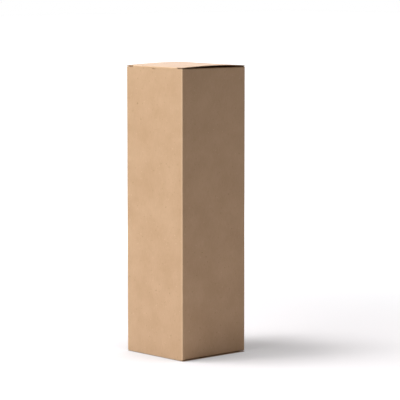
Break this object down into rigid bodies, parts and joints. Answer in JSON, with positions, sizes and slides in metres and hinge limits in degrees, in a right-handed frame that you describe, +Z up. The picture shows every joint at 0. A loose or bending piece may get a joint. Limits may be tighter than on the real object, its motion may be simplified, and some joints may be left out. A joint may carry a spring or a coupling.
{
  "type": "folding carton with a reverse tuck end",
  "caption": "Tall square kraft carton of folded board, closed, with a crowned tuck lid at the top, a tuck lid at the bottom, lock slits and a thumb notch.",
  "frame": {"origin": "centre of the footprint, on the surface that the carton stands on", "axes": "+Z up along the carton's height, -Y out of the front panel, +X out of the right side panel"},
  "size_m": [0.08, 0.08, 0.2765],
  "materials": {
    "kraft_board": "matte natural kraft board"
  },
  "bodies": {
    "carton": {"carton_body": "kraft_board"},
    "top_lid": {"top_lid": "kraft_board"},
    "bottom_lid": {"bottom_lid": "kraft_board"}
  },
  "joints": [
    {"name": "top_lid_hinge", "type": "hinge", "parent": "carton", "child": "top_lid", "pos_m": [0, 0.03965, 0.27465], "axis": [-1, 0, 0], "range_deg": [0, 135]},
    {"name": "bottom_lid_hinge", "type": "hinge", "parent": "carton", "child": "bottom_lid", "pos_m": [0, -0.03965, 0.00035], "axis": [-1, 0, 0], "range_deg": [0, 135]}
  ]
}
